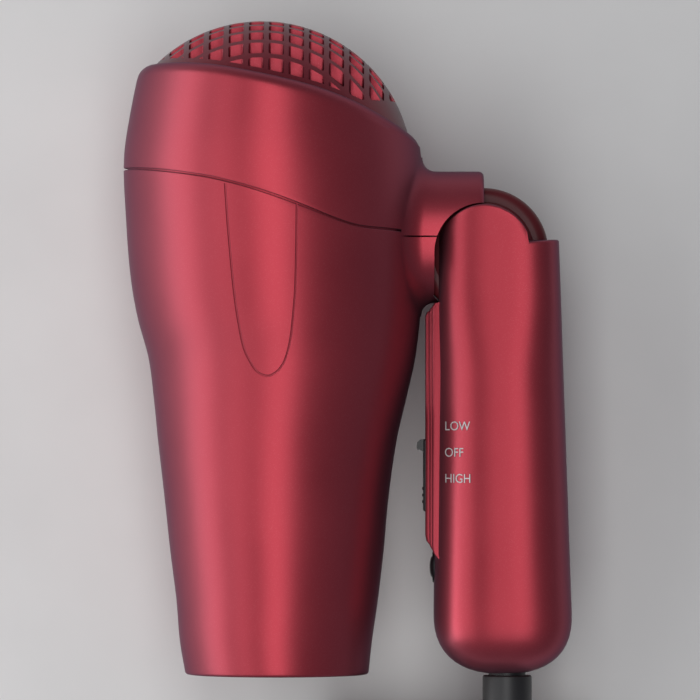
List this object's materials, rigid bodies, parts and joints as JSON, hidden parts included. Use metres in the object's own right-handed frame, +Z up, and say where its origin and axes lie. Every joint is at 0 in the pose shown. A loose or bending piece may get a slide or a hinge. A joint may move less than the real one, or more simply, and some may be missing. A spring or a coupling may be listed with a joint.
{
  "type": "folding travel hair dryer",
  "caption": "Folding travel hair dryer: tapered barrel, domed square-mesh inlet grille, side handle with slide switch, cool-shot button, coiled cord and plug.",
  "frame": {"origin": "under the middle of the dryer as it lies on its side, on the surface it rests on, measured without the cord, its coil and the plug", "axes": "+Z up, out of the side that faces up; +Y along the barrel from the nozzle to the inlet grille; +X from the barrel to the folded handle"},
  "size_m": [0.1252, 0.2849, 0.0725],
  "materials": {
    "red_shell": "satin metallic red lacquer on moulded plastic",
    "grille_red": "satin metallic red lacquer on a moulded lattice",
    "hinge_maroon": "dark maroon semi-gloss moulded plastic",
    "black_plastic": "black moulded plastic",
    "black_gloss": "black semi-gloss moulded plastic",
    "black_cord": "black flexible vinyl",
    "steel": "plain steel",
    "brass": "plain brass",
    "mica": "pressed mica sheet",
    "heating_wire": "wound resistance wire",
    "board": "printed board",
    "white_plastic": "off-white moulded plastic",
    "reset_red": "red moulded plastic"
  },
  "bodies": {
    "barrel": {"rear_housing": "red_shell", "front_housing": "red_shell", "inlet_grille": "grille_red", "outlet_grille": "black_plastic", "fan_duct": "black_plastic", "motor_can": "steel", "motor_end_cap": "white_plastic", "rectifier_board": "board", "rectifier_diode_1": "black_plastic", "rectifier_diode_2": "black_plastic", "rectifier_diode_3": "black_plastic", "rectifier_diode_4": "black_plastic", "thermostat": "steel", "thermal_fuse": "white_plastic", "heater_frame": "mica", "heater_coil_front": "heating_wire", "heater_coil_rear": "heating_wire", "heat_shield": "mica", "hinge_drum": "hinge_maroon"},
    "handle": {"handle_shell_upper": "red_shell", "handle_shell_lower": "red_shell", "handle_screw_1": "steel", "handle_screw_2": "steel", "hinge_pin": "steel", "hinge_washer_upper": "black_plastic", "hinge_washer_lower": "black_plastic", "switch_liner": "black_gloss", "switch_body": "black_plastic", "cool_shot_bezel": "black_gloss", "cool_shot_switch": "black_plastic", "cool_shot_spring": "steel", "cord_clamp": "white_plastic", "handle_lead": "black_cord", "strain_relief": "black_cord", "cord_to_coil": "black_cord", "cord_to_plug": "black_cord", "cord_coil": "black_cord", "cord_tie": "black_cord", "plug_case_upper": "black_plastic", "plug_case_lower": "black_plastic", "plug_blade_neutral": "brass", "plug_blade_live": "brass", "plug_strain_relief": "black_cord", "plug_board": "board", "test_button_spring": "steel", "reset_button_spring": "steel"},
    "fan": {"fan_impeller": "black_plastic", "motor_shaft": "steel"},
    "speed_switch": {"speed_switch": "black_gloss"},
    "cool_shot_button": {"cool_shot_button": "black_gloss"},
    "test_button": {"test_button": "white_plastic"},
    "reset_button": {"reset_button": "reset_red"}
  },
  "joints": [
    {"name": "handle_fold", "type": "hinge", "parent": "barrel", "child": "handle", "pos_m": [0.03275, 0.02315, 0.03625], "axis": [0, 0, 1], "range_deg": [0, 75]},
    {"name": "fan_spin", "type": "hinge", "parent": "barrel", "child": "fan", "pos_m": [-0.01755, 0.03055, 0.03625], "axis": [0, 1, 0], "continuous": true},
    {"name": "speed_slide", "type": "slide", "parent": "handle", "child": "speed_switch", "axis": [0, 1, 0], "range_m": [-0.00635, 0.00635]},
    {"name": "cool_shot_press", "type": "slide", "parent": "handle", "child": "cool_shot_button", "axis": [1, 0, 0], "range_m": [0, 0.0012], "stiffness_N_per_m": 800, "springref_m": -0.001, "deforming": ["cool_shot_spring"]},
    {"name": "test_press", "type": "slide", "parent": "handle", "child": "test_button", "axis": [0, 0, -1], "range_m": [0, 0.0008], "stiffness_N_per_m": 900, "springref_m": -0.001, "deforming": ["test_button_spring"]},
    {"name": "reset_press", "type": "slide", "parent": "handle", "child": "reset_button", "axis": [0, 0, -1], "range_m": [0, 0.0008], "stiffness_N_per_m": 900, "springref_m": -0.001, "deforming": ["reset_button_spring"]}
  ]
}
